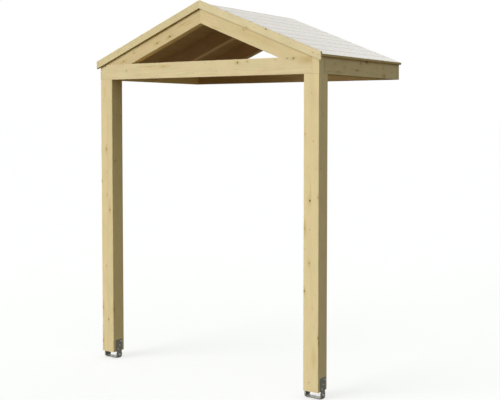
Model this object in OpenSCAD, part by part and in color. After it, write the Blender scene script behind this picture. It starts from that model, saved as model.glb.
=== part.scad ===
// Gabled timber canopy for a house door.
// Two posts carry the front, the wall carries the back.
// The origin is on the wall, at the middle of the back tie beam's rear face.
// X runs to the right, Y runs back to the wall, Z runs up.

/* [Frame] */
// Width across the outer faces of the posts
frame_w = 1970; // [1500:10:2600]
// Depth from the front of the frame to the wall
frame_d = 1250; // [900:10:1800]
// Height from the ground to the underside of the beams
clear_h = 2200; // [1900:5:2600]
// Side of the square posts
post_side = 119; // [100:1:140]
// Thickness of the tie beams and side beams
beam_t = 60; // [45:1:80]
// Height of the tie beams and side beams
beam_h = 117; // [90:1:180]
// Chamfer along the long edges of the posts
post_chamfer = 3; // [1:0.5:8]
// Chamfer along the long edges of beams and rafters
timber_chamfer = 2; // [1:0.5:6]

/* [Roof] */
// Pitch of both slopes in degrees
pitch = 22; // [15:0.5:35]
// Thickness of the rafters
rafter_t = 60; // [45:1:80]
// Depth of the rafters, square to the slope
rafter_h = 120; // [90:1:160]
// Blunt end of each rafter above the beams, at the outer face
heel_h = 1; // [1:1:40]
// Thickness of the roof boards
deck_t = 20; // [15:1:28]
// Reach of the roof boards beyond the posts
eave_overhang = 22; // [12:1:60]

/* [Barge boards] */
// Thickness of the barge boards
barge_t = 20; // [12:1:28]
// Depth that a barge board covers below the roof boards
barge_cover = 21; // [10:1:80]
// Height that a barge board stands above the roof boards
barge_rise = 13; // [5:1:60]
// Reach of the barge boards beyond the posts
barge_overhang = 22; // [12:1:80]
// Chamfer along the long edges of the barge boards
barge_chamfer = 1.5; // [0.5:0.5:4]

/* [Post anchors] */
// Height of the lower end of a post above the ground
post_lift = 54; // [50:1:90]
// Thickness of the anchor steel
steel_t = 5; // [4:0.5:8]
// Width of the straps where they lie on the posts
strap_w = 70; // [64:1:90]
// Height that a strap reaches up the side of a post
strap_rise = 93; // [88:1:160]
// Width left at the waist of a strap
waist_w = 52; // [40:1:56]
// Width of the lugs, and of the straps' feet that are bolted to them
lug_w = 60; // [56:1:63]
// Height of the lugs above the ground
lug_h = 42; // [38:1:46]
// Radius at the corners of the lugs and at the foot of the straps
lug_r = 16; // [10:1:18]
// Radius at the top corners of the straps
strap_top_r = 6; // [2:1:12]
// Gap between the foot of a strap and the ground
strap_gap = 2; // [1:0.5:5]
// Width of the bar that lies on the ground
bar_w = 50; // [44:1:60]
// Inner radius of the bend between bar and lug
bend_r = 4; // [2:0.5:8]

/* [Anchor holes] */
// Diameter of the bolt that joins a strap to its lug
lug_bolt_d = 10; // [8:1:12]
// Height of that bolt above the ground
lug_bolt_z = 24; // [20:1:26]
// Diameter of the bolt that holds the bar to the ground
ground_bolt_d = 12; // [8:1:16]
// Diameter of the screws in the straps
screw_d = 8; // [5:1:10]
// How much wider than its bolt a hole is
bolt_clearance = 2; // [0.5:0.5:3]
// How much wider than its screw a hole is
screw_clearance = 1; // [0.5:0.5:2]

/* [Hidden] */
$fn = 64;
wood = [0.86, 0.77, 0.56];
roof_wood = [0.88, 0.86, 0.82];
steel = [0.38, 0.38, 0.36];
// Overshoot of cutting tools past the faces that they cut
cut = 10;

half_w = frame_w / 2;
front_y = -frame_d;
beam_top = beam_h / 2;
beam_low = -beam_h / 2;
ground_z = beam_low - clear_h;
post_foot = ground_z + post_lift;
post_len = clear_h - post_lift;
post_x = half_w - post_side / 2;
post_y = front_y + post_side / 2;
// Rafter tops meet the ridge at this height
ridge_z = beam_top + heel_h + half_w * tan(pitch);
slope_len = (half_w + barge_overhang) / cos(pitch);
deck_len = (half_w + eave_overhang - deck_t * sin(pitch)) / cos(pitch);
// Screws of a strap: place across the strap, then height above the post's lower end
strap_screws = [[-17, 16], [2, 44], [19, 74]];

// Cross-section of a sawn timber with its four edges eased
module timber_section(t, h, c) {
    polygon([[c, 0], [t - c, 0], [t, c], [t, h - c], [t - c, h], [c, h], [0, h - c], [0, c]]);
}

// Timber along +X, thickness towards +Y, height towards +Z
module timber_x(len, t, h, c) {
    rotate([90, 0, 90])
        linear_extrude(len)
            timber_section(t, h, c);
}

// Timber along +Y, thickness towards +X, height towards +Z
module timber_y(len, t, h, c) {
    translate([0, len, 0])
        rotate([90, 0, 0])
            linear_extrude(len)
                timber_section(t, h, c);
}

// Puts children drawn for the right-hand side on one side: -1 left, 1 right
module on_side(side) {
    mirror([side < 0 ? 1 : 0, 0, 0])
        children();
}

// Puts children on the right-hand slope: X down the slope from the ridge,
// Z square to it, with 0 at the top of the rafters
module on_slope() {
    translate([0, 0, ridge_z])
        rotate([0, pitch, 0])
            children();
}

// Keeps what lies between the ridge and a plumb cut at x = reach
module plumb_cuts(reach) {
    intersection() {
        children();
        translate([0, front_y - frame_d, ground_z])
            cube([reach, 3 * frame_d, 2 * (ridge_z - ground_z)]);
    }
}

module post(side) {
    color(wood)
        on_side(side)
            translate([half_w - post_side, front_y, post_foot])
                linear_extrude(post_len)
                    timber_section(post_side, post_side, post_chamfer);
}

// Beam across the full width, with its front face at y
module tie_beam(y) {
    color(wood)
        translate([-half_w, y, beam_low])
            timber_x(frame_w, beam_t, beam_h, timber_chamfer);
}

// Beam between the two tie beams, over the post
module side_beam(side) {
    color(wood)
        on_side(side)
            translate([half_w - beam_t, front_y + beam_t, beam_low])
                timber_y(frame_d - 2 * beam_t, beam_t, beam_h, timber_chamfer);
}

// Full rafter with plumb cuts at the ridge and the outer face, front face at y
module rafter_blank(y) {
    plumb_cuts(half_w)
        on_slope()
            translate([-rafter_h, y, -rafter_h])
                timber_x(slope_len + 2 * rafter_h, rafter_t, rafter_h, timber_chamfer);
}

// Rafter with a long level seat, standing on a tie beam
module gable_rafter(side, y) {
    color(wood)
        on_side(side)
            difference() {
                rafter_blank(y);
                translate([-cut, y - cut, beam_low - frame_w])
                    cube([half_w + 2 * cut, rafter_t + 2 * cut, frame_w + beam_h]);
            }
}

// Rafter with a bird's mouth: a seat on the side beam and a heel inside it
module middle_rafter(side) {
    y = (front_y - rafter_t) / 2;
    color(wood)
        on_side(side)
            difference() {
                rafter_blank(y);
                translate([half_w - beam_t, y - cut, beam_low - frame_w])
                    cube([beam_t + cut, rafter_t + 2 * cut, frame_w + beam_h]);
            }
}

// Roof boards of one slope, laid edge to edge, square at the eave
module roof_deck(side) {
    color(roof_wood)
        on_side(side)
            plumb_cuts(frame_w)
                on_slope()
                    translate([-rafter_h, front_y, 0])
                        cube([deck_len + rafter_h, frame_d, deck_t]);
}

// Board on the gable face, plumb at both ends
module barge_board(side) {
    height = barge_cover + deck_t + barge_rise;
    color(wood)
        on_side(side)
            plumb_cuts(half_w + barge_overhang)
                on_slope()
                    translate([-height, front_y - barge_t, -barge_cover])
                        timber_x(slope_len + 2 * height, barge_t, height, barge_chamfer);
}

// What a round corner of radius r takes off a square corner at the origin
module corner_waste(r) {
    difference() {
        square(r);
        translate([r, r])
            circle(r);
    }
}

// Upright plate centred on x = 0, from y = 0 up, with round corners
module round_plate(w, h, low_r, top_r) {
    difference() {
        translate([-w / 2, 0])
            square([w, h]);
        for (m = [0, 1])
            mirror([m, 0]) {
                translate([-w / 2, 0])
                    corner_waste(low_r);
                translate([-w / 2, h])
                    mirror([0, 1])
                        corner_waste(top_r);
            }
    }
}

// Outline of a strap: waisted just under the post, y = 0 at the ground
module strap_outline() {
    notch_r = (strap_w - waist_w) / 2;
    waist_z = (lug_h + post_lift) / 2;
    difference() {
        union() {
            translate([0, strap_gap])
                round_plate(lug_w, post_lift - strap_gap, lug_r, strap_top_r);
            translate([0, waist_z])
                round_plate(strap_w, post_lift + strap_rise - waist_z, strap_top_r, strap_top_r);
        }
        for (m = [0, 1])
            mirror([m, 0])
                translate([strap_w / 2, waist_z])
                    circle(notch_r);
        translate([0, lug_bolt_z])
            circle(d = lug_bolt_d + bolt_clearance);
        for (p = strap_screws)
            translate([p[0], post_lift + p[1]])
                circle(d = screw_d + screw_clearance);
    }
}

// Strap on a side face of a post: face -1 is towards the doorway, 1 is outwards
module strap(side, face) {
    color(steel)
        on_side(side)
            translate([post_x + (face < 0 ? -post_side / 2 - steel_t : post_side / 2), post_y, ground_z])
                rotate([90, 0, 90])
                    linear_extrude(steel_t)
                        strap_outline();
}

// Side view of the bent bar: flat on the ground, turned up at both ends
module bar_profile() {
    inner_w = post_side - 2 * steel_t;
    difference() {
        translate([-post_side / 2, 0])
            square([post_side, lug_h]);
        for (m = [0, 1])
            mirror([m, 0])
                translate([-post_side / 2, 0])
                    corner_waste(bend_r + steel_t);
        difference() {
            translate([-inner_w / 2, steel_t])
                square([inner_w, lug_h]);
            for (m = [0, 1])
                mirror([m, 0])
                    translate([-inner_w / 2, steel_t])
                        corner_waste(bend_r);
        }
    }
}

// Bar with two round lugs, the straps' lower ends bolted to them
module anchor_base(side) {
    bend = bend_r + steel_t;
    color(steel)
        on_side(side)
            translate([post_x, post_y, ground_z])
                difference() {
                    intersection() {
                        rotate([90, 0, 0])
                            linear_extrude(lug_w, center = true)
                                bar_profile();
                        union() {
                            translate([-post_side / 2, -bar_w / 2, 0])
                                cube([post_side, bar_w, bend]);
                            for (m = [0, 1])
                                mirror([m, 0, 0])
                                    translate([post_side / 2 - bend, 0, 0])
                                        rotate([90, 0, 90])
                                            linear_extrude(bend)
                                                round_plate(lug_w, lug_h, lug_r, lug_r);
                        }
                    }
                    translate([0, 0, -cut])
                        cylinder(h = 2 * cut + steel_t, d = ground_bolt_d + bolt_clearance);
                    translate([-post_side, 0, lug_bolt_z])
                        rotate([0, 90, 0])
                            cylinder(h = 2 * post_side, d = lug_bolt_d + bolt_clearance);
                }
}

module left_anchor_base() { anchor_base(-1); }
module right_anchor_base() { anchor_base(1); }
module left_outer_strap() { strap(-1, 1); }
module left_inner_strap() { strap(-1, -1); }
module right_inner_strap() { strap(1, -1); }
module right_outer_strap() { strap(1, 1); }
module left_post() { post(-1); }
module right_post() { post(1); }
module front_tie_beam() { tie_beam(front_y); }
module back_tie_beam() { tie_beam(-beam_t); }
module left_side_beam() { side_beam(-1); }
module right_side_beam() { side_beam(1); }
module front_left_rafter() { gable_rafter(-1, front_y); }
module front_right_rafter() { gable_rafter(1, front_y); }
module middle_left_rafter() { middle_rafter(-1); }
module middle_right_rafter() { middle_rafter(1); }
module back_left_rafter() { gable_rafter(-1, -rafter_t); }
module back_right_rafter() { gable_rafter(1, -rafter_t); }
module left_roof_deck() { roof_deck(-1); }
module right_roof_deck() { roof_deck(1); }
module left_barge_board() { barge_board(-1); }
module right_barge_board() { barge_board(1); }

left_anchor_base();
right_anchor_base();
left_outer_strap();
left_inner_strap();
right_inner_strap();
right_outer_strap();
left_post();
right_post();
front_tie_beam();
back_tie_beam();
left_side_beam();
right_side_beam();
front_left_rafter();
front_right_rafter();
middle_left_rafter();
middle_right_rafter();
back_left_rafter();
back_right_rafter();
left_roof_deck();
right_roof_deck();
left_barge_board();
right_barge_board();
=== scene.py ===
import math

import bmesh
import bpy
from bpy.props import FloatProperty, FloatVectorProperty, PointerProperty
from mathutils import Euler, Matrix, Vector


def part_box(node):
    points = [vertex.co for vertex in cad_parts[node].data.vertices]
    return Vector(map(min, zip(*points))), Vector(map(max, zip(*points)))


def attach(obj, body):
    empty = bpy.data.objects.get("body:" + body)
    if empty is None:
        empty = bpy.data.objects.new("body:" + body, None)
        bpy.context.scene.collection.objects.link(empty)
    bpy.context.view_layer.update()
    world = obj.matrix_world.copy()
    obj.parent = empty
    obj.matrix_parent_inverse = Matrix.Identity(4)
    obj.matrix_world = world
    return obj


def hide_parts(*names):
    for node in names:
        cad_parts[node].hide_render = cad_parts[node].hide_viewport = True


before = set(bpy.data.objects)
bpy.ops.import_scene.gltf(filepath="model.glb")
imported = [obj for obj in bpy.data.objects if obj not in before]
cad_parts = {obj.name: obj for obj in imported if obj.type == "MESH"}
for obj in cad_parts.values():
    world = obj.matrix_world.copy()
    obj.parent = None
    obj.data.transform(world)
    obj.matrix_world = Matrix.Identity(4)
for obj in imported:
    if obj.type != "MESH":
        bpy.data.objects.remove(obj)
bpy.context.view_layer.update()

bl_info = {
    "name": "Timber Door Canopy",
    "version": (1, 0, 0),
    "blender": (4, 5, 0),
    "location": "View3D > Sidebar > Canopy",
    "description": "Finishes a gabled timber door canopy: planed wood, roof boards, post anchors and fixings",
    "category": "Object",
}

MM = 0.001
SIDES = {"left": -1, "right": 1}
RIGHT, BACK, UP = Vector((1, 0, 0)), Vector((0, 1, 0)), Vector((0, 0, 1))
# Cosines between which a face comes to count as looking a given way.
FACING = (0.5, 0.8)
# First seed of the wood of each group of timbers.
SEEDS = {
    "post": 2.0, "tie_beam": 11.0, "side_beam": 15.0, "rafter": 21.0, "barge_board": 31.0,
    "roof_board": 41.0}


# -------- places read from the frame

def roof_slab(node):
    """Pitch, thickness and slope length of a roof slab, read from its own faces."""
    mesh = bpy.data.objects[node].data
    upper = max((p for p in mesh.polygons if p.normal.z > 0), key=lambda p: p.area)
    normal = upper.normal.copy()
    heights = [v.co.dot(normal) for v in mesh.vertices]
    down = Vector((normal.z * math.copysign(1, normal.x), 0, -abs(normal.x)))
    reach = [v.co.dot(down) for v in mesh.vertices if abs(v.co.dot(normal) - max(heights)) < MM]
    return math.atan2(abs(normal.x), normal.z), max(heights) - min(heights), max(reach) - min(reach)


PITCH, DECK_T, DECK_LEN = roof_slab("right_roof_deck")
RIDGE_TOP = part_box("right_roof_deck")[1][2]
RIDGE = RIDGE_TOP - DECK_T / math.cos(PITCH)
RIDGE_START = -DECK_T * math.tan(PITCH)
DECK_FRONT, DECK_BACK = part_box("right_roof_deck")[0][1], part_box("right_roof_deck")[1][1]
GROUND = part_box("right_anchor_base")[0][2]


def centre_of(node):
    """Middle of a node's box."""
    low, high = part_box(node)
    return (Vector(low) + Vector(high)) / 2


def down_slope(side):
    """Unit vector down a slope of the roof, -1 on the left and 1 on the right."""
    return Vector((side * math.cos(PITCH), 0, -math.sin(PITCH)))


def off_slope(side):
    """Unit vector square to a slope of the roof, upwards."""
    return Vector((side * math.sin(PITCH), 0, math.cos(PITCH)))


# -------- knots placed one by one

# Each is (along the grain, across it, radius, length in radii, darkness of the core, strength of the stain
# round it), in millimetres. Posts are measured from the foot and the middle, tie beams from the middle, side
# beams from the wall, rafters and barge boards down the slope and up from the rafters' top.
KNOTS_AND_SEAM_SHADE = {
    "left_post": [
        (2053, -20, 7, 1.5, 0.0, 0.5), (1988, -27, 3.5, 1, 0.2, 0.5), (1606, -4, 7, 1.4, 0.55, 0.9),
        (1427, 0, 3.5, 1, 0.3, 0.4), (1354, -52, 6, 1.4, 0.8, 0.5), (1245, 2, 5, 1, 0.25, 0.8),
        (1129, 29, 7, 1.2, 0.7, 1.0), (1155, 26, 6, 3, 0.0, 0.7), (684, -14, 6, 1, 0.5, 0.5),
        (349, -47, 6, 3, 0.35, 0.9), (256, 8, 6.5, 1.2, 0.85, 0.6), (82, -49, 6, 4, 0.35, 0.9)],
    "right_post": [
        (2020, 2, 3.5, 1, 0.3, 0.3), (1744, -48, 4.5, 1, 0.6, 0.5), (1517, 38, 3.5, 1.2, 0.35, 0.3),
        (1522, -20, 3.5, 1, 0.2, 0.3), (1321, 52, 4.5, 1.4, 0.7, 0.6), (1297, -9, 8, 1.3, 1.0, 0.6),
        (1346, -6, 3.5, 7, 0.15, 0.5), (1110, -50, 8, 2, 0.25, 0.9), (968, -45, 3.5, 1, 0.4, 0.3),
        (874, -13, 6.5, 1, 0.6, 0.8), (681, -52, 7, 1.3, 0.9, 1.0), (664, 36, 3, 1, 0.3, 0.2),
        (570, 14, 3.5, 1, 0.4, 0.3), (449, 22, 3.5, 1, 0.25, 0.2), (375, 56, 4.5, 3, 0.8, 0.5),
        (222, 24, 11.5, 1.5, 0.0, 0.6), (60, -13, 4, 1, 0.6, 0.5)],
    "front_tie_beam": [
        (325, 35, 9, 0.85, 0.95, 0.9), (408, 40, 6, 0.9, 0.6, 0.6), (642, 43, 4, 1, 0.4, 0.5),
        (737, 51, 6.5, 1, 0.55, 0.6), (785, 49, 9.5, 1, 0.72, 0.8), (-716, 8, 9, 0.4, 0.7, 0.4),
        (-832, 7, 4.5, 0.7, 0.3, 0.3), (893, 36, 16, 1.2, 0.08, 1.0), (-70, -29, 2.5, 1, 0.4, 0.3),
        (-486, 31, 6, 5, 0.12, 0.6), (-347, 29, 9, 1.8, 0.15, 0.8), (40, 40, 4, 1, 0.3, 0.3)],
    "right_side_beam": [
        (-649, 38, 16, 0.5, 0.7, 0.5), (-703, -16, 5.5, 4.5, 0.7, 0.5), (-557, 50, 10, 1.6, 0.95, 0.9),
        (-265, -41, 14, 0.9, 0.5, 0.8), (-984, -37, 6, 3.5, 0.35, 0.5), (-383, 14, 11, 0.8, 0.3, 0.3),
        (-282, 18, 11, 0.8, 0.4, 0.3), (-1030, 15, 9, 1.2, 0.25, 0.4), (-895, -3, 12, 0.8, 0.2, 0.4),
        (-1110, -40, 3, 8, 0.3, 0.3), (-555, -24, 4, 2, 0.25, 0.4), (-125, -6, 4, 1.2, 0.3, 0.3),
        # The last is no knot but a dark band across the beam near its front end: painted shade in the seam
        # against the tie beam.
        (-1186, 0, 58, 0.12, 0.4, 0.0)],
    "front_left_rafter": [
        (344, -88, 9, 1.1, 0.95, 0.8), (473, -82, 8, 1.1, 0.7, 0.9), (708, -55, 6, 1, 0.6, 0.7),
        (830, -73, 6.5, 1.5, 0.5, 0.9), (199, -57, 5, 4, 0.15, 0.8), (151, -76, 4, 4, 0.1, 0.6),
        (450, -40, 12, 4, 0.0, 0.5)],
    "front_right_rafter": [
        (424, -40, 5, 1, 0.5, 0.9), (188, -104, 4, 3, 0.2, 0.7), (57, -116, 4, 1, 0.2, 0.5),
        (520, -60, 12, 4, 0.0, 0.5)],
    "left_barge_board": [
        (4, 16, 3, 1, 0.5, 0.3), (227, 22, 3.5, 1, 0.4, 0.3), (399, 32, 3.5, 1, 0.4, 0.3),
        (576, 28, 4, 1.8, 0.6, 0.5), (836, 11, 3.5, 1.8, 0.25, 0.6), (1061, 16, 3, 1, 0.3, 0.3)],
    "right_barge_board": [
        (234, 12, 3.5, 1, 0.4, 0.3), (454, -14, 5, 1.1, 0.55, 0.7), (518, 11, 3, 1, 0.3, 0.3),
        (610, 27, 7, 1, 1.0, 0.4), (729, 32, 4, 1.3, 0.5, 0.5), (830, 8, 3.5, 1, 0.45, 0.3),
        (1020, 6, 4.5, 1, 0.6, 0.4), (1065, 7, 3.5, 1, 0.6, 0.3)],
}
# On the right face of each post, measured from the foot and back from the front face.
POST_SIDE_KNOTS = [
    (1872, 50, 4.5, 1.2, 0.3, 0.5), (1513, 30, 6, 1, 0.55, 0.4), (1026, 60, 3.5, 1, 0.25, 0.3),
    (922, 45, 3.5, 1, 0.25, 0.3), (340, 8, 6, 3, 0.5, 0.8)]
# How the wood of some timbers differs from the rest. The barge boards and the front tie beam differ in their
# own tone, and the back tie beam is a little darker. The rest is painted shade: the front rafters are
# darkened in the recess behind the barge boards and the right side beam under the eave, and the middle left
# rafter is lighter with a purple cast, as painted light in the shade under the roof.
TONE_AND_PAINTED_SHADE = {
    "front_left_rafter": (0.915, 0.882, 0.855), "front_right_rafter": (0.965, 0.955, 0.955),
    "left_barge_board": (0.92, 0.945, 0.96), "right_barge_board": (0.985, 1.02, 1.10),
    "front_tie_beam": (0.97, 0.98, 1.03), "right_side_beam": (0.90, 0.90, 0.885),
    "back_tie_beam": (0.94, 0.98, 0.96), "middle_left_rafter": (1.12, 1.10, 1.22)}
# Painted light and shade on single faces of some timbers, as (the way the face looks, colour): the undersides
# of the front and middle left rafters and of both side beams, and the inner faces of the left post and the
# left side beam, are lightened as painted light; the undersides of the barge boards and the front faces of
# the back tie beam and of the middle and back rafters are darkened as painted shade.
PAINTED_FACE_LIGHT = {
    "front_left_rafter": [(-UP, (1.68, 1.66, 1.55))],
    "middle_left_rafter": [(-UP, (1.24, 1.14, 1.23)), (-BACK, (0.84, 0.775, 0.80))],
    "back_left_rafter": [(-BACK, (0.96, 0.83, 0.98))],
    "left_post": [(RIGHT, (1.08, 1.08, 0.98))],
    "right_side_beam": [(-UP, (1.08, 1.10, 0.86))],
    "left_barge_board": [(-UP, (0.74, 0.67, 0.36))],
    "right_barge_board": [(-UP, (0.74, 0.67, 0.36))],
    "back_tie_beam": [(-BACK, (0.894, 0.75, 0.604))],
    "left_side_beam": [(RIGHT, (1.33, 1.38, 1.17)), (-UP, (1.33, 1.38, 1.17))]}


# -------- sizes and colours

COLOUR = {"size": 3, "min": 0, "max": 1, "subtype": "COLOR"}
SHARE = {"min": 0, "max": 1, "subtype": "FACTOR"}


class CanopyWoodSettings(bpy.types.PropertyGroup):
    pale: FloatVectorProperty(
        name="Early wood", description="Pale wood between the year rings",
        default=(0.765, 0.628, 0.35), **COLOUR)
    late: FloatVectorProperty(
        name="Late wood", description="Darker wood of the year rings",
        default=(0.6, 0.44, 0.205), **COLOUR)
    knot: FloatVectorProperty(
        name="Knots", description="Wood of the knots",
        default=(0.11, 0.055, 0.022), **COLOUR)
    ring: FloatProperty(
        name="Ring width", description="Width of one year ring",
        default=0.0038, min=0.001, max=0.02, unit="LENGTH")
    roughness: FloatProperty(
        name="Roughness", description="Roughness of the planed faces",
        default=0.62, **SHARE)
    grain_relief: FloatProperty(
        name="Grain relief", description="Depth of the grain in the surface",
        default=0.0006, min=0, max=0.005, unit="LENGTH")


class CanopyRoofSettings(bpy.types.PropertyGroup):
    # Colour of the boards' upper faces only, whiter than their edges and undersides as painted sheen.
    pale: FloatVectorProperty(
        name="Board colour", description="Pale wood of the roof boards",
        default=(0.7, 0.61, 0.512), **COLOUR)
    cover: FloatProperty(
        name="Cover",
        description="Width that one board covers; the board at the ridge is ripped to what is left",
        default=0.1164, min=0.06, max=0.25, unit="LENGTH")
    joint: FloatProperty(
        name="Joint", description="Gap between two boards at the top",
        default=0.0016, min=0, max=0.006, unit="LENGTH")
    top_ease: FloatProperty(
        name="Top edge", description="Easing of the upper edges of a board",
        default=0.0014, min=0.0002, max=0.004, unit="LENGTH")
    vee: FloatProperty(
        name="Vee joint", description="Depth of the vee between two boards, seen from below",
        default=0.0035, min=0.0005, max=0.007, unit="LENGTH")
    ridge_flat: FloatProperty(
        name="Ridge flat", description="Width of the narrow flat planed on top of the ridge",
        default=0.021, min=0, max=0.03, unit="LENGTH")
    # Painted shade: the undersides are given a warmer, darker brown for the shade under the roof.
    under: FloatVectorProperty(
        name="Underside", description="Warmer wood of the undersides",
        default=(0.7, 0.515, 0.285), **COLOUR)
    # Painted shade: the ends and long edges are darker and warmer than the upper faces.
    edge: FloatVectorProperty(
        name="Edges", description="Wood of the sawn ends and long edges",
        default=(0.67, 0.545, 0.255), **COLOUR)
    wax: FloatProperty(
        name="Wax", description="Weight of the clear coat on the upper faces",
        default=0.45, **SHARE)
    roughness: FloatProperty(
        name="Roughness", description="Roughness of the boards' planed upper faces",
        default=0.18, **SHARE)


class CanopySteelSettings(bpy.types.PropertyGroup):
    # On the nuts this darker zinc is painted shade.
    zinc: FloatVectorProperty(
        name="Zinc", description="Dull galvanised steel of straps, bars and nuts",
        default=(0.3, 0.305, 0.28), **COLOUR)
    # The upper faces of the bars take this colour as painted light; the screws and bolts are brighter zinc of
    # their own.
    bright: FloatVectorProperty(
        name="Fixings", description="Brighter zinc of screws, bolts and the upper faces of the bars",
        default=(0.68, 0.68, 0.66), **COLOUR)
    screw_head: FloatProperty(
        name="Screw head", description="Width across the flats of a strap screw",
        default=0.01, min=0.006, max=0.02, unit="LENGTH")
    bolt_head: FloatProperty(
        name="Bolt head", description="Width across the flats of a lug bolt",
        default=0.016, min=0.01, max=0.024, unit="LENGTH")


class CanopyStageSettings(bpy.types.PropertyGroup):
    key: FloatProperty(
        name="Key light", description="Strength of the soft light from the front",
        default=2.85, min=0, max=20)
    fill: FloatProperty(
        name="Fill light", description="Strength of the soft light from the right",
        default=0.08, min=0, max=20)
    back: FloatProperty(
        name="Back light", description="Strength of the soft light from behind",
        default=0.35, min=0, max=20)
    sky: FloatProperty(
        name="Sky light", description="Strength of the even light from all round",
        default=0.44, min=0, max=5)
    sky_colour: FloatVectorProperty(
        name="Sky colour", description="Colour of the even light on the surfaces",
        default=(0.96, 1.032, 0.965), size=3, min=0, max=2, subtype="COLOR")
    floor_pale: FloatProperty(
        name="Floor", description="Paleness of the floor as it is seen",
        default=0.55, **SHARE)
    floor_bounce: FloatVectorProperty(
        name="Floor bounce", description="Colour of the little light that the floor throws back up",
        default=(0.19, 0.14, 0.09), **COLOUR)
    floor_glow: FloatProperty(
        name="Floor glow", description="White added to the floor as it is seen",
        default=0.61, min=0, max=1)


# -------- node building

class Graph:
    """Adds and links nodes in one tree."""

    def __init__(self, tree):
        self.nodes = tree.nodes
        self.links = tree.links

    def add(self, kind, inputs=None, **settings):
        """New node with its settings and inputs, which are values or sockets."""
        node = self.nodes.new(kind)
        for name, value in settings.items():
            setattr(node, name, value)
        self.fill(node, inputs or {})
        return node

    def fill(self, node, inputs):
        for key, value in inputs.items():
            self.feed(node.inputs[key], value)

    def feed(self, socket, value):
        if isinstance(value, bpy.types.NodeSocket):
            self.links.new(value, socket)
        elif value is not None:
            socket.default_value = value

    def math(self, operation, a, b=None, clamp=False):
        return self.add("ShaderNodeMath", {0: a, 1: b}, operation=operation, use_clamp=clamp).outputs[0]

    def plus(self, a, b, clamp=False):
        return self.math("ADD", a, b, clamp)

    def minus(self, a, b, clamp=False):
        return self.math("SUBTRACT", a, b, clamp)

    def times(self, a, b):
        return self.math("MULTIPLY", a, b)

    def weighed(self, start, *layers):
        """Start plus each layer times its weight."""
        for layer, weight in layers:
            start = self.plus(start, self.times(layer, weight))
        return start

    def vector(self, operation, a, b=None):
        node = self.add("ShaderNodeVectorMath", {0: a, 1: b}, operation=operation)
        return node.outputs["Value" if operation in {"LENGTH", "DOT_PRODUCT"} else "Vector"]

    def split(self, vector):
        return self.add("ShaderNodeSeparateXYZ", {0: vector}).outputs[:]

    def join(self, x, y, z=0.0):
        return self.add("ShaderNodeCombineXYZ", {0: x, 1: y, 2: z}).outputs[0]

    def noise(self, vector, scale, detail=2.0, output="Fac"):
        node = self.add("ShaderNodeTexNoise", {"Vector": vector, "Scale": scale, "Detail": detail})
        return node.outputs[output]

    def ease(self, value, low, high, to_low=0.0, to_high=1.0):
        node = self.add(
            "ShaderNodeMapRange",
            {"Value": value, "From Min": low, "From Max": high, "To Min": to_low, "To Max": to_high},
            interpolation_type="SMOOTHSTEP")
        return node.outputs["Result"]

    def mix(self, factor, a, b):
        """Colour between a and b."""
        node = self.add("ShaderNodeMix", data_type="RGBA")
        for key, value in (("Factor_Float", factor), ("A_Color", a), ("B_Color", b)):
            socket = next(s for s in node.inputs if s.identifier == key)
            self.feed(socket, (*value, 1.0) if isinstance(value, tuple) else value)
        return next(s for s in node.outputs if s.identifier == "Result_Color")

    def blend(self, factor, a, b):
        """Number between a and b."""
        return self.add("ShaderNodeMix", {0: factor, 2: a, 3: b}, data_type="FLOAT").outputs[0]

    def shade(self, colour, amount):
        """Colour times a grey amount."""
        node = self.add("ShaderNodeVectorMath", {0: colour, "Scale": amount}, operation="SCALE")
        return node.outputs[0]

    def bump(self, height, distance, strength):
        inputs = {"Height": height, "Distance": distance, "Strength": strength}
        return self.add("ShaderNodeBump", inputs).outputs[0]


def new_tree(kind, name, inputs, outputs):
    """Node tree with sockets of (name, kind, default if any); gives it, its graph, inputs and outputs."""
    tree = bpy.data.node_groups.new(name, f"{kind}NodeTree")
    for way, sockets in (("OUTPUT", outputs), ("INPUT", inputs)):
        for socket, socket_kind, *default in sockets:
            made = tree.interface.new_socket(socket, in_out=way, socket_type=f"NodeSocket{socket_kind}")
            if default:
                made.default_value = default[0]
    graph = Graph(tree)
    return tree, graph, graph.add("NodeGroupInput").outputs, graph.add("NodeGroupOutput").inputs


def shared_tree(name, build):
    """Node tree of a name, built when it is first asked for."""
    return bpy.data.node_groups.get(name) or build(name)


def new_material(name):
    """Material with nodes; gives it, its graph and its shader."""
    material = bpy.data.materials.new(name)
    material.use_nodes = True
    graph = Graph(material.node_tree)
    return material, graph, graph.nodes["Principled BSDF"]


# -------- sawn wood

def knot_group(name):
    """Adds one placed knot to the cores and stains so far; the stain runs out along the grain."""
    tree, g, given, result = new_tree(
        "Shader", name,
        [("Position", "Vector"), ("Place", "Vector"), ("Radius", "Float"), ("Length", "Float"),
         ("Dark", "Float"), ("Stain", "Float"), ("Cores", "Float"), ("Stains", "Float")],
        [("Cores", "Float"), ("Stains", "Float")])
    core_edge, stain_edge = (0.4, 1.15), (0.4, 2.8)
    stain_shape = (0.45, 1.0, 1.0)
    radius = given["Radius"]
    size = g.join(g.times(radius, given["Length"]), radius, radius)
    away = g.vector("DIVIDE", g.vector("SUBTRACT", given["Position"], given["Place"]), size)
    core = g.ease(g.vector("LENGTH", away), *core_edge, 1.0, 0.0)
    stain = g.ease(g.vector("LENGTH", g.vector("MULTIPLY", away, stain_shape)), *stain_edge, 1.0, 0.0)
    g.feed(result["Cores"], g.math("MAXIMUM", g.times(core, given["Dark"]), given["Cores"]))
    g.feed(result["Stains"], g.math("MAXIMUM", g.times(stain, given["Stain"]), given["Stains"]))
    return tree


def placed_knots(g, position, knots):
    """Cores and stains of some placed knots: (point, radius, length, dark, stain)."""
    cores, stains = 0.0, 0.0
    group = shared_tree("Placed knot", knot_group)
    for point, radius, length, dark, stain in knots:
        values = {"Position": position, "Place": tuple(point), "Radius": radius, "Length": length,
                  "Dark": dark, "Stain": stain, "Cores": cores, "Stains": stains}
        cores, stains = g.add("ShaderNodeGroup", values, node_tree=group).outputs
    return cores, stains


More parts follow.
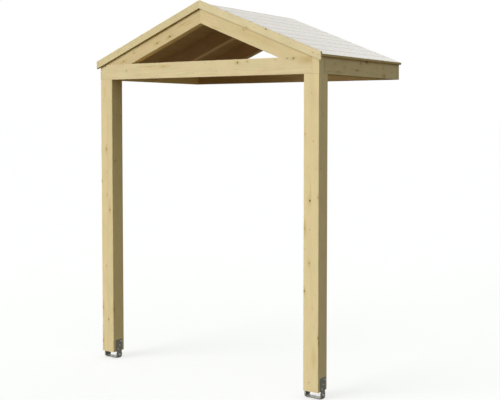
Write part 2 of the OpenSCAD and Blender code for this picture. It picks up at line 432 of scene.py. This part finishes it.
def scattered_knots(g, along, across, face):
    """Distance from the nearest scattered knot in knot radii, on one face of a timber."""
    cells_per_metre = (2.1, 8.0, 1.0)
    least_chance, radius_gain, least_radius = 0.5, 0.014, 0.0005
    knot_shape = (0.8, 1.0, 0.0)
    cell = g.vector("MULTIPLY", g.join(along, g.plus(across, face)), cells_per_metre)
    cells = g.add(
        "ShaderNodeTexVoronoi", {"Vector": cell, "Scale": 1.0, "Randomness": 0.9}, voronoi_dimensions="2D")
    gap = g.vector("DIVIDE", g.vector("SUBTRACT", cell, cells.outputs["Position"]), cells_per_metre)
    chance = g.split(cells.outputs["Color"])[0]
    radius = g.times(g.minus(chance, least_chance, clamp=True), radius_gain)
    flat = g.vector("MULTIPLY", gap, knot_shape)
    return g.math("DIVIDE", g.vector("LENGTH", flat), g.math("MAXIMUM", radius, least_radius))


def wood_group(name):
    """Solid wood pattern: X runs along the grain, the pith lies on the X axis shifted by Pith."""
    white = (1, 1, 1, 1)
    tree, g, given, result = new_tree(
        "Shader", name,
        [("Position", "Vector"), ("Normal", "Vector"), ("Pith", "Vector"), ("Seed", "Float"),
         ("Lamella", "Float", 10.0), ("Glue line", "Float"), ("Cores", "Float"), ("Stains", "Float"),
         ("Knot amount", "Float", 1.0), ("Board tone", "Float", 0.05), ("Ring width", "Float", 0.004),
         ("Pale", "Color", white), ("Late", "Color", white), ("Knot", "Color", white)],
        [("Color", "Color"), ("Height", "Float"), ("Roughness", "Float")])
    x, y, z = g.split(given["Position"])
    nx, ny, nz = g.split(given["Normal"])

    # lamellas: each has its own stretch of the pattern; whole wood has none
    widest_lamella, glue_edge = 5.0, (0.0002, 0.0008)
    next_lamella, next_seed = 7.31, 3.7
    width = given["Lamella"]
    lamella = g.math("FLOOR", g.math("DIVIDE", y, width))
    inside = g.minus(y, g.times(g.plus(lamella, 0.5), width))
    is_stack = g.math("LESS_THAN", width, widest_lamella)
    y_here = g.blend(is_stack, y, inside)
    seed = g.plus(given["Seed"], g.times(g.times(lamella, is_stack), next_lamella))
    glue = g.times(g.ease(g.math("ABSOLUTE", y), *glue_edge, 1.0, 0.0), given["Glue line"])
    dice = g.add("ShaderNodeTexWhiteNoise", {"W": seed}, noise_dimensions="1D").outputs["Value"]
    here = g.join(g.plus(x, g.times(seed, next_seed)), y_here, z)

    def layer(along, across, detail=2.0, place=here, output="Fac"):
        """Noise with so many features a metre along the grain and across it."""
        return g.noise(g.vector("MULTIPLY", place, (along, across, across)), 1.0, detail, output)

    # knots: scattered ones, with cells of their own on each face, and those placed one by one
    core_edge, core_dark, stain_edge, stain_dark = (0.4, 1.1), 0.7, (0.7, 3.0), 0.6
    on_y = g.math("GREATER_THAN", g.math("ABSOLUTE", ny), g.math("ABSOLUTE", nz))
    across = g.blend(on_y, y_here, z)
    facing = g.blend(on_y, g.math("SIGN", nz), g.math("SIGN", ny))
    face = g.weighed(g.times(facing, 0.53), (on_y, 0.29))
    scattered = scattered_knots(g, g.split(here)[0], across, g.plus(face, seed))
    scattered = g.math("DIVIDE", scattered, g.math("MAXIMUM", given["Knot amount"], 0.01))
    on_end = g.ease(g.math("ABSOLUTE", nx), *FACING)
    on_side = g.minus(1.0, on_end)
    core = g.math("MAXIMUM", g.ease(scattered, *core_edge, core_dark, 0.0), given["Cores"])
    core = g.times(core, on_side)
    stain = g.math("MAXIMUM", g.ease(scattered, *stain_edge, stain_dark, 0.0), given["Stains"])
    stain = g.times(stain, on_side)

    # year rings round the pith, which wander and bend round the knots
    wander, ring_rise, ring_fall = 0.035, (0.35, 0.9), (0.93, 1.0)
    strayed = g.vector("SUBTRACT", layer(0.8, 6.0, output="Color"), (0.5, 0.5, 0.5))
    bent = g.vector("ADD", here, g.vector("MULTIPLY", strayed, (0.0, wander, wander)))
    from_pith = g.vector("MULTIPLY", g.vector("SUBTRACT", bent, given["Pith"]), (0.0, 1.0, 1.0))
    streak = layer(0.7, 42.0, 3.0)
    rings = g.math("DIVIDE", g.vector("LENGTH", from_pith), given["Ring width"])
    saw = g.math("FRACT", g.weighed(rings, (streak, 0.8), (stain, 1.6)))
    late = g.times(g.ease(saw, *ring_rise), g.ease(saw, *ring_fall, 1.0, 0.0))

    # colour: late wood over pale, then level, hue, stains, knots, glue lines and end grain
    fibre = layer(7.0, 650.0)
    cloud = layer(7.0, 17.0, 3.0)
    hue = layer(11.0, 20.0, place=g.vector("ADD", here, (9.0, 4.0, 2.0)))
    fleck = layer(70.0, 130.0)
    base_level, hue_edge = 0.731, (0.32, 0.68)
    reddish, greenish, resin = (1.016, 0.988, 1.005), (0.984, 1.010, 0.985), (0.955, 0.91, 0.70)
    level = g.weighed(
        base_level, (streak, 0.10), (cloud, 0.20), (fibre, 0.08), (fleck, 0.12),
        (g.minus(dice, 0.5), given["Board tone"]))
    colour = g.shade(g.mix(g.times(late, 0.20), given["Pale"], given["Late"]), level)
    colour = g.vector("MULTIPLY", colour, g.mix(g.ease(hue, *hue_edge), reddish, greenish))
    for amount, over in (
            (g.times(stain, 0.60), g.vector("MULTIPLY", given["Late"], resin)),
            (g.times(core, 0.92), given["Knot"]),
            (glue, g.shade(given["Late"], 0.55)),
            (g.times(on_end, 0.35), g.shade(given["Late"], 0.9))):
        colour = g.mix(amount, colour, over)
    g.feed(result["Color"], colour)
    height = g.weighed(g.times(late, 0.35), (fibre, 0.45), (glue, -0.5), (core, -0.3))
    g.feed(result["Height"], height)
    g.feed(result["Roughness"], g.weighed(g.times(fibre, 0.16), (late, -0.08)))
    return tree


def wood_pattern(g, place, origin, grain, across, seed, knots=(), pale=None, tone=(1, 1, 1), **pattern):
    """Adds the wood pattern, its grain along one direction from origin; gives its outputs."""
    wood = bpy.context.scene.canopy_wood
    axes = Matrix((grain, across, grain.cross(across)))
    turn = axes.to_euler()
    position = g.add("ShaderNodeMapping", {
        "Vector": place["Object"], "Rotation": turn, "Location": -(axes @ origin)}).outputs[0]
    normal = g.add("ShaderNodeMapping", {
        "Vector": place["Normal"], "Rotation": turn}, vector_type="VECTOR").outputs[0]
    cores, stains = placed_knots(g, position, knots)
    pale, late = [tuple(c * t for c, t in zip(colour, tone)) for colour in (pale or wood.pale, wood.late)]
    values = {"Position": position, "Normal": normal, "Seed": seed, "Cores": cores, "Stains": stains,
              "Ring width": wood.ring, "Pale": (*pale, 1), "Late": (*late, 1), "Knot": (*wood.knot, 1)}
    values.update({key.replace("_", " ").capitalize(): value for key, value in pattern.items()})
    return g.add("ShaderNodeGroup", values, node_tree=shared_tree("Sawn wood", wood_group)).outputs


def wood_material(name, *where, roughness=None, gloss=0.15, coat=0.0, faces=(), tongue=None, **pattern):
    """Wood; faces tints single faces as painted light and shade, tongue is (x, pattern) of another timber
    that shows beyond x.
    """
    wood = bpy.context.scene.canopy_wood
    material, g, shader = new_material(name)
    place = g.add("ShaderNodeTexCoord").outputs
    colour, height, rough = wood_pattern(g, place, *where, **pattern)
    if tongue:
        edge, other = tongue
        seam_edge, seam_shade = (0.0006, 0.0022), 0.84
        second = wood_pattern(g, place, **other)
        x = g.split(place["Object"])[0]
        beyond = g.math("GREATER_THAN", x, edge)
        seam = g.ease(g.math("ABSOLUTE", g.minus(x, edge)), *seam_edge, seam_shade, 1.0)
        colour = g.shade(g.mix(beyond, colour, second["Color"]), seam)
        height = g.blend(beyond, height, second["Height"])
        rough = g.blend(beyond, rough, second["Roughness"])
    # Painted light and shade: faces that look a listed way are tinted lighter or darker.
    for way, tint in faces:
        facing = g.ease(g.vector("DOT_PRODUCT", place["Normal"], way), *FACING)
        colour = g.vector("MULTIPLY", colour, g.mix(facing, (1.0, 1.0, 1.0), tint))
    base = wood.roughness if roughness is None else roughness
    g.fill(shader, {
        "Base Color": colour, "Roughness": g.plus(rough, base, clamp=True),
        "Normal": g.bump(height, wood.grain_relief, strength=0.6), "Specular IOR Level": gloss,
        "Coat Weight": coat, "Coat Roughness": 0.15})
    return material


def post_wood(side):
    """Where and how the wood of a post runs."""
    lamella_share = 0.55
    low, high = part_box(f"{side}_post")
    foot = Vector((centre_of(f"{side}_post").x, low[1], low[2]))
    return {"origin": foot, "grain": UP, "across": RIGHT, "seed": SEEDS["post"] + SIDES[side],
            "knot_amount": 0.5, "pith": (0, 0.05, 0.09), "lamella": (high[0] - low[0]) * lamella_share,
            "glue_line": 0.3}


def face_knots(node):
    """Placed knots on the front or outer face of a timber, with the painted seam shade listed among them."""
    return [(Vector((along, across, 0)) * MM, radius * MM, *rest)
            for along, across, radius, *rest in KNOTS_AND_SEAM_SHADE.get(node, ())]


def set_finishes(mesh, *finishes):
    """Gives a mesh its materials in place of those that it has."""
    mesh.materials.clear()
    for finish in finishes:
        mesh.materials.append(finish)


def finish_node(node, material):
    """Gives a node of the frame its material."""
    set_finishes(bpy.data.objects[node].data, material)


def finish_timber(node, *where, side_knots=(), **pattern):
    """Gives a timber its wood, with its knots, its tone, which on some timbers is painted shade, and the
    painted light and shade of single faces, as listed for it.
    """
    finish_node(node, wood_material(
        f"{node}_wood", *where, knots=[*face_knots(node), *side_knots],
        tone=TONE_AND_PAINTED_SHADE.get(node, (1, 1, 1)), faces=PAINTED_FACE_LIGHT.get(node, ()), **pattern))


def finish_sloping(node, side, seed, **pattern):
    """Gives a timber its wood, with its grain down a slope from the ridge."""
    origin = Vector((0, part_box(node)[0][1], RIDGE))
    finish_timber(node, origin, down_slope(side), off_slope(side), seed + side, **pattern)


# -------- steel

def zinc_material(name, colour, metallic, roughness, spangle, top=None):
    """Galvanised steel: faint zinc flowers, cloudy patches and pits; top is a brighter colour painted on
    upper faces as painted light.
    """
    material, g, shader = new_material(name)
    coordinates = g.add("ShaderNodeTexCoord").outputs
    place = coordinates["Object"]
    flowers = g.add("ShaderNodeTexVoronoi", {"Vector": place, "Scale": spangle, "Randomness": 1.0})
    flower = g.split(flowers.outputs["Color"])[0]
    cloud = g.noise(place, scale=28.0, detail=3.0)
    pits = g.noise(place, scale=900.0)
    base_level, painted_top_light, cloudy = 0.62, (0.3, 0.8), 0.2
    level = g.weighed(base_level, (flower, 0.22), (cloud, 0.5))
    colour = tuple(colour)
    # Painted light: faces that look up take the brighter top colour.
    if top:
        colour = g.mix(g.ease(g.split(coordinates["Normal"])[2], *painted_top_light), colour, tuple(top))
    relief = g.plus(g.times(flower, 0.3), pits)
    g.fill(shader, {
        "Base Color": g.shade(colour, level), "Metallic": metallic,
        "Roughness": g.weighed(roughness - cloudy / 2, (cloud, cloudy), (flower, 0.05)),
        "Normal": g.bump(relief, distance=0.0002, strength=0.35)})
    return material


# -------- meshes and geometry nodes

def object_with(name, mesh):
    """Object at the origin with a mesh."""
    piece = bpy.data.objects.new(name, mesh)
    bpy.context.scene.collection.objects.link(piece)
    return piece


def object_from(name, bm):
    """Object at the origin with the mesh that was built in bm."""
    mesh = bpy.data.meshes.new(name)
    bm.to_mesh(mesh)
    bm.free()
    return object_with(name, mesh)


def realize(g, instances, finish, result):
    """Ends a geometry node tree: instances on points, made real, with their finish."""
    placed = g.add("GeometryNodeInstanceOnPoints", instances)
    solid = g.add("GeometryNodeRealizeInstances", {"Geometry": placed.outputs[0]})
    dressed = g.add("GeometryNodeSetMaterial", {"Geometry": solid.outputs[0], "Material": finish})
    g.feed(result["Geometry"], dressed.outputs[0])


def row_tree(name):
    """Repeats the object's mesh in a straight row."""
    tree, g, given, result = new_tree(
        "Geometry", name,
        [("Geometry", "Geometry"), ("Count", "Int"), ("Step", "Vector"), ("Finish", "Material")],
        [("Geometry", "Geometry")])
    line = g.add("GeometryNodeMeshLine", {"Count": given["Count"], "Offset": given["Step"]}, mode="OFFSET")
    realize(g, {"Points": line.outputs[0], "Instance": given["Geometry"]}, given["Finish"], result)
    return tree


def fixings_tree(name):
    """Puts a head on every point of the object's mesh, aimed along the point's own aim."""
    tree, g, given, result = new_tree(
        "Geometry", name,
        [("Geometry", "Geometry"), ("Head", "Object"), ("Size", "Float"), ("Seed", "Int"),
         ("Finish", "Material")],
        [("Geometry", "Geometry")])
    head = g.add("GeometryNodeObjectInfo", {"Object": given["Head"]})
    aim = g.add("GeometryNodeInputNamedAttribute", {"Name": "aim"}, data_type="FLOAT_VECTOR")
    turn = g.add("FunctionNodeAlignRotationToVector", {"Vector": aim.outputs["Attribute"]}, axis="Z")
    sixth_turn = math.pi / 3
    chance = g.add("FunctionNodeRandomValue", data_type="FLOAT")
    for key, value in (("Min_001", 0.0), ("Max_001", sixth_turn), ("Seed", given["Seed"])):
        g.feed(next(s for s in chance.inputs if s.identifier == key), value)
    angle = next(s for s in chance.outputs if s.identifier == "Value_001")
    spin = g.add(
        "FunctionNodeRotateRotation", {"Rotation": turn.outputs[0], "Rotate By": g.join(0.0, 0.0, angle)},
        rotation_space="LOCAL")
    heads = {"Points": given["Geometry"], "Instance": head.outputs["Geometry"],
             "Rotation": spin.outputs[0], "Scale": given["Size"]}
    realize(g, heads, given["Finish"], result)
    return tree


def apply_tree(piece, tree, values):
    """Runs a geometry node tree on a piece once and keeps the result as a plain mesh."""
    modifier = piece.modifiers.new(tree.name, "NODES")
    modifier.node_group = tree
    for item in tree.interface.items_tree:
        if item.in_out == "INPUT" and item.name in values:
            modifier[item.identifier] = values[item.name]
    graph = bpy.context.evaluated_depsgraph_get()
    graph.update()
    made = bpy.data.meshes.new_from_object(piece.evaluated_get(graph))
    piece.modifiers.remove(modifier)
    old, piece.data = piece.data, made
    bpy.data.meshes.remove(old)
    made.name = piece.name
    set_finishes(made, values["Finish"])


def finish_by_facing(mesh, finishes):
    """Gives a mesh the finishes of its faces that look up, sideways and down, such as lit and shaded copies
    of a wood.
    """
    least_up, least_down = 0.5, -0.6
    set_finishes(mesh, *finishes)
    for face in mesh.polygons:
        face.material_index = (face.normal.z < least_up) + (face.normal.z < least_down)


def lathe(bm, rings, segments=24):
    """Closed turned shape about +Z. A ring is (radius, height); either may be a function of the angle."""
    loops = []
    for radius, height in rings:
        loop = []
        for k in range(segments):
            angle = 2 * math.pi * k / segments
            r = radius(angle) if callable(radius) else radius
            h = height(angle) if callable(height) else height
            loop.append(bm.verts.new((r * math.cos(angle), r * math.sin(angle), h)))
        loops.append(loop)
    for low, high in zip(loops, loops[1:]):
        for k in range(segments):
            n = (k + 1) % segments
            bm.faces.new((low[k], low[n], high[n], high[k]))
    bm.faces.new(reversed(loops[0]))
    bm.faces.new(loops[-1])


def hexagon(flats):
    """Radius of a hexagon at an angle, from its width across the flats."""
    return lambda angle: flats / 2 / math.cos((angle % (math.pi / 3)) - math.pi / 6)


def hex_rings(flats, low, high):
    """Rings of a hexagon head from low to high, its upper corners turned off."""
    corner = hexagon(flats)
    turned, fall = flats * 0.47, math.tan(math.radians(28))
    return [(corner, low), (corner, lambda a: high - (corner(a) - turned) * fall), (turned, high)]


def fixings(name, places, rings, material, seed):
    """One piece with a turned head at each (point, aim)."""
    mesh = bpy.data.meshes.new(name)
    mesh.from_pydata([point for point, _ in places], [], [])
    aims = mesh.attributes.new("aim", "FLOAT_VECTOR", "POINT")
    aims.data.foreach_set("vector", [c for _, aim in places for c in aim])
    piece = object_with(name, mesh)
    bm = bmesh.new()
    lathe(bm, rings)
    head = object_from("fixing_head", bm)
    apply_tree(piece, shared_tree("Fixings on points", fixings_tree), {
        "Head": head, "Size": 1.0, "Seed": seed, "Finish": material})
    bpy.data.objects.remove(head)
    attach(piece, "root")


# -------- operators

class CANOPY_OT_posts(bpy.types.Operator):
    """Finish the two glued posts"""
    bl_idname = "canopy.posts"
    bl_label = "Posts"

    def execute(self, context):
        for side in SIDES:
            node = f"{side}_post"
            low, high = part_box(node)
            edge = (high[0] - low[0]) / 2
            side_knots = [(Vector((along * MM, edge, back * MM)), radius * MM, *rest)
                          for along, back, radius, *rest in POST_SIDE_KNOTS]
            finish_timber(node, side_knots=side_knots, **post_wood(side))
        return {"FINISHED"}


class CANOPY_OT_beams(bpy.types.Operator):
    """Finish the tie beams and the side beams"""
    bl_idname = "canopy.beams"
    bl_label = "Tie and side beams"

    def execute(self, context):
        tongue_w = 0.055
        post_tongue = (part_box("front_tie_beam")[1][0] - tongue_w, post_wood("right"))
        tie_beams = (("front_tie_beam", 0.5, post_tongue), ("back_tie_beam", 0.9, None))
        for k, (node, knot_amount, tongue) in enumerate(tie_beams):
            origin = Vector((0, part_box(node)[0][1], centre_of(node).z))
            finish_timber(node, origin, RIGHT, UP, SEEDS["tie_beam"] + k, tongue=tongue,
                          knot_amount=knot_amount, pith=(0, -0.03, 0.14))
        for side, sign in SIDES.items():
            node = f"{side}_side_beam"
            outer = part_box(node)[1 if sign > 0 else 0][0]
            origin = Vector((outer, 0, centre_of(node).z))
            finish_timber(node, origin, BACK, UP, SEEDS["side_beam"] + sign, knot_amount=0.7,
                          pith=(0, -0.02, 0.06))
        return {"FINISHED"}


class CANOPY_OT_rafters(bpy.types.Operator):
    """Finish the three pairs of rafters"""
    bl_idname = "canopy.rafters"
    bl_label = "Rafters"

    def execute(self, context):
        for row, place in enumerate(("front", "middle", "back")):
            for side, sign in SIDES.items():
                finish_sloping(f"{place}_{side}_rafter", sign, SEEDS["rafter"] + 2 * row,
                               knot_amount=0.7, pith=(0, -0.03, 0.08 * sign))
        return {"FINISHED"}


class CANOPY_OT_barge_boards(bpy.types.Operator):
    """Finish the two barge boards"""
    bl_idname = "canopy.barge_boards"
    bl_label = "Barge boards"

    def execute(self, context):
        for side, sign in SIDES.items():
            finish_sloping(f"{side}_barge_board", sign, SEEDS["barge_board"],
                           knot_amount=0.4, pith=(0, 0.08, 0.02))
        return {"FINISHED"}


class CANOPY_OT_roof_boards(bpy.types.Operator):
    """Lay the roof boards on both slopes"""
    bl_idname = "canopy.roof_boards"
    bl_label = "Roof boards"

    def profile(self, width, roof):
        """Outline of a tongued and grooved board: along the slope, then up from the rafters."""
        tongue, slack = 0.006, 0.0003
        mid, thin = DECK_T * 0.45, DECK_T * 0.16
        low, high = mid - thin, mid + thin
        ease, vee = roof.top_ease, roof.vee
        start = roof.joint / 2
        end = width - start
        return [
            (start + vee, 0), (end - vee, 0), (end, vee), (end, low), (end + tongue, low + slack),
            (end + tongue, high - slack), (end, high), (end, DECK_T - ease), (end - ease, DECK_T),
            (start + ease, DECK_T), (start, DECK_T - ease), (start, high + slack),
            (start + tongue, high + slack), (start + tongue, low - slack), (start, low - slack), (start, vee)]

    def board(self, side, start, width, roof):
        """One board of a slope; start is its distance down the slope from the ridge line."""
        bm = bmesh.new()
        outline = [down_slope(side) * (start + a) + off_slope(side) * b for a, b in self.profile(width, roof)]
        front, back = [
            [bm.verts.new(point + Vector((0, y, RIDGE))) for point in outline]
            for y in (DECK_FRONT, DECK_BACK)]
        for k in range(len(outline)):
            n = (k + 1) % len(outline)
            bm.faces.new((front[k], front[n], back[n], back[k]))
        bm.faces.new(front)
        bm.faces.new(reversed(back))
        return bm

    def trim(self, bm, side, roof):
        """Saws the boards plumb at the ridge and square at the eave, and planes the ridge flat."""
        ridge, down = UP * RIDGE, down_slope(side)
        slab = bpy.data.objects["right_roof_deck"].data
        reach = max((v.co - ridge).dot(down_slope(1)) for v in slab.vertices)
        planed = UP * (RIDGE_TOP - roof.ridge_flat / 2 * math.tan(PITCH))
        cuts = ((Vector((0, 0, 0)), RIGHT * -side), (ridge + down * reach, down), (planed, UP))
        for point, outward in cuts:
            cut = bmesh.ops.bisect_plane(
                bm, geom=bm.verts[:] + bm.edges[:] + bm.faces[:], plane_co=point, plane_no=outward,
                clear_outer=True)
            edges = [e for e in cut["geom_cut"] if isinstance(e, bmesh.types.BMEdge)]
            bmesh.ops.holes_fill(bm, edges=edges)
        bmesh.ops.recalc_face_normals(bm, faces=bm.faces)

    def finishes(self, name, side, origin, roof):
        """Wood of the upper faces, ends and edges, and underside: lit and shaded copies of one wood, painted
        light and shade.
        """
        looks = {
            "top": {"pale": roof.pale, "roughness": roof.roughness, "gloss": 0.5, "coat": roof.wax},
            "edge": {"pale": roof.edge}, "under": {"pale": roof.under}}
        return [
            wood_material(
                f"{name}_{face}", origin, BACK, down_slope(side), SEEDS["roof_board"] + side,
                knot_amount=0.9, pith=(0, 0.01, -0.06), lamella=roof.cover, board_tone=0.09, **look)
            for face, look in looks.items()]

    def execute(self, context):
        roof = context.scene.canopy_roof
        whole = int(DECK_LEN / roof.cover)
        first = RIDGE_START + DECK_LEN - whole * roof.cover
        spare = 0.03
        for side, sign in SIDES.items():
            name = f"{side}_roof_boards"
            finishes = self.finishes(name, sign, UP * RIDGE + down_slope(sign) * first, roof)
            piece = object_from(name, self.board(sign, first, roof.cover, roof))
            apply_tree(piece, shared_tree("Row of boards", row_tree), {
                "Count": whole, "Step": down_slope(sign) * roof.cover, "Finish": finishes[0]})
            bm = self.board(sign, RIDGE_START - spare, first - RIDGE_START + spare, roof)
            bm.from_mesh(piece.data)
            self.trim(bm, sign, roof)
            bm.to_mesh(piece.data)
            bm.free()
            finish_by_facing(piece.data, finishes)
            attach(piece, "root")
            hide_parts(f"{side}_roof_deck")
        return {"FINISHED"}


class CANOPY_OT_anchors(bpy.types.Operator):
    """Finish the anchor bars and straps"""
    bl_idname = "canopy.anchors"
    bl_label = "Post anchors"

    def execute(self, context):
        steel = context.scene.canopy_steel
        zinc = {"metallic": 0.35, "spangle": 260.0}
        strap = zinc_material("strap_zinc", steel.zinc, roughness=0.5, **zinc)
        # The bars' upper faces are painted in the brighter zinc, as painted light.
        bar = zinc_material("bar_zinc", steel.zinc, roughness=0.45, top=steel.bright, **zinc)
        for side in SIDES:
            finish_node(f"{side}_anchor_base", bar)
            for face in ("outer", "inner"):
                finish_node(f"{side}_{face}_strap", strap)
        return {"FINISHED"}


class CANOPY_OT_anchor_fixings(bpy.types.Operator):
    """Add the strap screws, the lug bolts and their nuts"""
    bl_idname = "canopy.anchor_fixings"
    bl_label = "Anchor screws and bolts"

    steel_t = 0.005
    bolt_height = 0.024
    nut_seat = 0.0022
    # of each strap screw: back from the post's middle, up from its foot
    screw_places = ((-0.017, 0.016), (0.002, 0.044), (0.019, 0.074))

    def places(self, side, sign):
        """Places and aims of the screws, bolts and nuts of one anchor."""
        post_low, post_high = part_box(f"{side}_post")
        y = (post_low[1] + post_high[1]) / 2
        screws, bolts, nuts = [], [], []
        for face, way in (("outer", sign), ("inner", -sign)):
            low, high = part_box(f"{side}_{face}_strap")
            aim = Vector((way, 0, 0))
            plane = high[0] if way > 0 else low[0]
            screws += [(Vector((plane, y + a, post_low[2] + h)), aim) for a, h in self.screw_places]
            bolts.append((Vector((plane, y, GROUND + self.bolt_height)), aim))
            inner = plane - way * 2 * self.steel_t
            nuts.append((Vector((inner, y, GROUND + self.bolt_height)), -aim))
        return screws, bolts, nuts

    def screw(self, steel):
        """Rings of a flanged hexagon screw, from the end of its shank up."""
        shank, flange = steel.screw_head * 0.3, steel.screw_head * 0.68
        shank_len, flange_t, seat, top = 0.004, 0.0012, 0.0018, 0.0062
        return [(shank, -shank_len), (shank, 0.0), (flange, 0.0), (flange, flange_t),
                *hex_rings(steel.screw_head, seat, top)]

    def washer(self, steel):
        """Rings of the washer under a lug bolt's head or nut."""
        radius, thickness = steel.bolt_head * 0.62, 0.0016
        return [(radius, 0.0), (radius, thickness)]

    def bolt(self, steel):
        """Rings of a lug bolt with its washer, from the end of its shank up."""
        shank, top = 0.005, 0.0086
        return [(shank, -2 * self.steel_t), (shank, 0.0), *self.washer(steel),
                *hex_rings(steel.bolt_head, self.nut_seat, top)]

    def nut(self, steel):
        """Rings of a lug bolt's nut and washer, with the bolt's end standing out of it."""
        bore, shank, tip, nut_t = 0.0062, 0.005, 0.0042, 0.008
        nut_top = self.nut_seat + nut_t
        recess, shank_end, tip_end = 0.0019 + nut_t, 0.0055 + nut_t, 0.0063 + nut_t
        return [*self.washer(steel), *hex_rings(steel.bolt_head, self.nut_seat, nut_top),
                (bore, nut_top), (shank, recess), (shank, shank_end), (tip, tip_end)]

    def execute(self, context):
        steel = context.scene.canopy_steel
        zinc = {"metallic": 0.5, "spangle": 700.0}
        bright = zinc_material("fixing_zinc", steel.bright, roughness=0.38, **zinc)
        # The nuts take the darker zinc of the straps, darker than their bolts, as painted shade.
        shaded_nut_zinc = zinc_material("nut_zinc", steel.zinc, roughness=0.42, **zinc)
        for side, sign in SIDES.items():
            screws, bolts, nuts = self.places(side, sign)
            fixings(f"{side}_strap_screws", screws, self.screw(steel), bright, seed=3)
            fixings(f"{side}_lug_bolts", bolts, self.bolt(steel), bright, seed=5)
            fixings(f"{side}_lug_nuts", nuts, self.nut(steel), shaded_nut_zinc, seed=7)
        return {"FINISHED"}


class CANOPY_OT_stage(bpy.types.Operator):
    """Set up the floor, the light and the camera"""
    bl_idname = "canopy.stage"
    bl_label = "Stage"

    def seen(self, g, mirrored=True):
        """1 where a ray comes from the camera, through a clear surface or, if asked, from a glossy one."""
        path = g.add("ShaderNodeLightPath").outputs
        direct = g.math("MAXIMUM", path["Is Camera Ray"], path["Is Transmission Ray"])
        return g.math("MAXIMUM", direct, path["Is Glossy Ray"]) if mirrored else direct

    def floor(self, stage):
        """Wide floor that looks pale and throws little light back."""
        half_width = 300.0
        bm = bmesh.new()
        bmesh.ops.create_grid(bm, x_segments=4, y_segments=4, size=half_width)
        bmesh.ops.translate(bm, verts=bm.verts, vec=(0, 0, GROUND))
        floor = object_from("floor", bm)
        material, g, shader = new_material("floor_pale")
        seen = self.seen(g, mirrored=False)
        g.fill(shader, {
            "Base Color": g.mix(seen, tuple(stage.floor_bounce), (stage.floor_pale,) * 3),
            "Emission Strength": g.times(seen, stage.floor_glow), "Emission Color": (1, 1, 1, 1),
            "Roughness": 0.9, "Specular IOR Level": 0.0})
        floor.data.materials.append(material)

    def world(self, scene, stage):
        """Even light from all round, seen as white."""
        world = bpy.data.worlds.new("soft_white")
        world.use_nodes = True
        g = Graph(world.node_tree)
        seen = self.seen(g)
        g.fill(g.nodes["Background"], {
            "Color": g.mix(seen, tuple(stage.sky_colour), (1.0, 1.0, 1.0)),
            "Strength": g.blend(seen, stage.sky, 1.0)})
        scene.world = world

    def light(self, scene, name, strength, azimuth, height, spread):
        """Soft sun from an azimuth, 0 in front and 90 on the right, and a height in degrees."""
        lamp = bpy.data.lights.new(name, "SUN")
        lamp.energy = strength
        lamp.angle = math.radians(spread)
        holder = bpy.data.objects.new(name, lamp)
        holder.rotation_euler = Euler((math.radians(90 - height), 0, math.radians(azimuth)))
        scene.collection.objects.link(holder)

    def camera(self, scene):
        """Camera at eye height, in front of the gable and to its right."""
        rightward, forward, eye_height = 3.9238, 5.163, 1.923
        tilt, turn = math.radians(2.608), 0.5947
        data = bpy.data.cameras.new("camera")
        data.sensor_width = 36.0
        data.lens = 64.20
        data.shift_y = -0.088
        camera = bpy.data.objects.new("camera", data)
        camera.rotation_euler = Euler((math.pi / 2 - tilt, 0, turn))
        camera.location = (rightward, DECK_FRONT - forward, GROUND + eye_height)
        scene.collection.objects.link(camera)
        scene.camera = camera

    def execute(self, context):
        scene = context.scene
        stage = scene.canopy_stage
        self.floor(stage)
        self.world(scene, stage)
        self.light(scene, "key", stage.key, azimuth=-30, height=12, spread=45)
        self.light(scene, "fill", stage.fill, azimuth=60, height=30, spread=60)
        self.light(scene, "back", stage.back, azimuth=170, height=30, spread=60)
        self.camera(scene)
        scene.view_settings.view_transform = "Standard"
        return {"FINISHED"}


class CANOPY_PT_panel(bpy.types.Panel):
    """Lists the steps that finish the canopy"""
    bl_idname = "CANOPY_PT_panel"
    bl_label = "Door Canopy"
    bl_space_type = "VIEW_3D"
    bl_region_type = "UI"
    bl_category = "Canopy"

    def draw(self, context):
        for operator in OPERATORS:
            self.layout.operator(operator.bl_idname)
        for name in SETTINGS:
            box = self.layout.box()
            group = getattr(context.scene, name)
            for key in group.__annotations__:
                box.prop(group, key)


SETTINGS = {
    "canopy_wood": CanopyWoodSettings,
    "canopy_roof": CanopyRoofSettings,
    "canopy_steel": CanopySteelSettings,
    "canopy_stage": CanopyStageSettings,
}
OPERATORS = (
    CANOPY_OT_posts, CANOPY_OT_beams, CANOPY_OT_rafters, CANOPY_OT_barge_boards, CANOPY_OT_roof_boards,
    CANOPY_OT_anchors, CANOPY_OT_anchor_fixings, CANOPY_OT_stage,
)


def register():
    for cls in (*SETTINGS.values(), *OPERATORS, CANOPY_PT_panel):
        bpy.utils.register_class(cls)
    for name, cls in SETTINGS.items():
        setattr(bpy.types.Scene, name, PointerProperty(type=cls))


def unregister():
    for name in SETTINGS:
        delattr(bpy.types.Scene, name)
    for cls in (CANOPY_PT_panel, *reversed(OPERATORS), *reversed(SETTINGS.values())):
        bpy.utils.unregister_class(cls)


def main():
    register()
    for operator in OPERATORS:
        area, action = operator.bl_idname.split(".")
        getattr(getattr(bpy.ops, area), action)()


if __name__ == "__main__":
    main()
